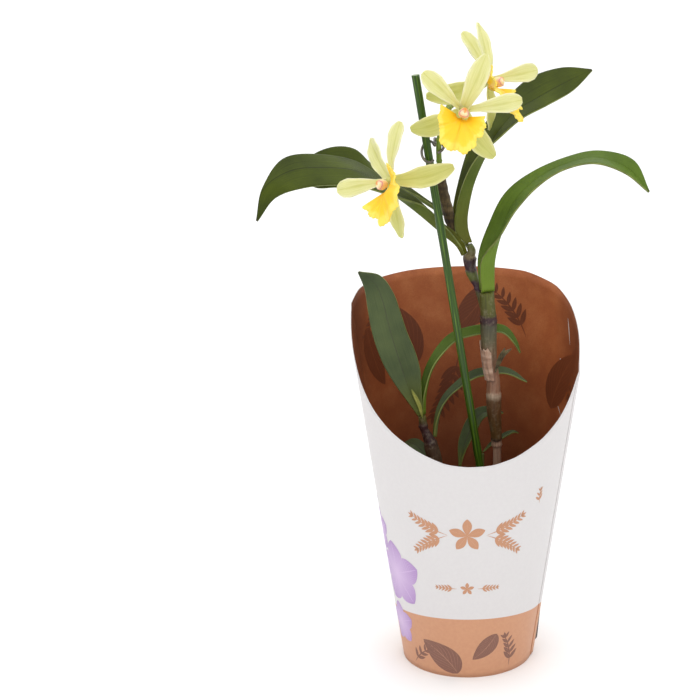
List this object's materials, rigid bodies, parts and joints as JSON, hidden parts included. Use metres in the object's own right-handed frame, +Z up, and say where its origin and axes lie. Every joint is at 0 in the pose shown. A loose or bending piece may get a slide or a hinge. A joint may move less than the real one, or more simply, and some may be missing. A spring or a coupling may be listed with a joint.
{
  "type": "potted cattleya orchid",
  "caption": "Flowering cattleya orchid on a green stake, in a plastic pot inside a flared card sleeve with a slanting cut front.",
  "frame": {"origin": "centre of the flat underside of the pot and sleeve, on the sleeve's axis", "axes": "+Z up along the plant, -Y towards the low front of the sleeve's cut, +X to the right seen from the front"},
  "size_m": [0.268, 0.1643, 0.4507],
  "materials": {
    "card": "matt white coated card outside, warm brown printed board inside",
    "pot_plastic": "satin brown thermoformed plastic",
    "bark": "rough graded pine bark chips",
    "stake_bamboo": "split-cane stake in glossy green lacquer",
    "clip_plastic": "smoky translucent plastic",
    "rhizome_skin": "dull olive brown with dry scales",
    "cane_skin": "olive to purple brown with a dull bloom and pale joint rings",
    "dry_sheath": "thin dry papery sheath",
    "leaf": "thick waxy leaf, semi gloss",
    "leaf_shaded": "thick waxy leaf, duller and bluish",
    "bract_pale": "young yellow green bract",
    "stem_green": "fresh light green stem",
    "tepal": "satin pale yellow green petal",
    "lip": "velvety golden yellow lip",
    "column": "waxy cream with a magenta edge"
  },
  "bodies": {
    "root": {"bark_mix": "bark", "bloom_1_column": "column", "bloom_1_lip": "lip", "bloom_1_tepals": "tepal", "bloom_2_column": "column", "bloom_2_lip": "lip", "bloom_2_tepals": "tepal", "bloom_3_column": "column", "bloom_3_lip": "lip", "bloom_3_tepals": "tepal", "cane_back": "cane_skin", "cane_left": "cane_skin", "cane_main": "cane_skin", "dry_bract": "dry_sheath", "dry_sheath": "dry_sheath", "flower_sheath": "cane_skin", "flower_stem": "stem_green", "leaf_dark": "leaf_shaded", "leaf_left_back": "leaf_shaded", "leaf_left_front": "leaf", "leaf_low_arch": "leaf_shaded", "leaf_low_inner": "leaf_shaded", "leaf_low_left": "leaf_shaded", "leaf_low_right": "leaf_shaded", "leaf_right": "leaf", "leaf_thin_arch": "leaf_shaded", "leaf_upper": "leaf", "pot": "pot_plastic", "rhizome": "rhizome_skin", "shoot_1": "cane_skin", "shoot_2": "cane_skin", "shoot_3": "cane_skin", "sleeve": "card", "stake": "stake_bamboo", "stake_clip": "clip_plastic", "young_bract": "bract_pale"}
  },
  "joints": []
}
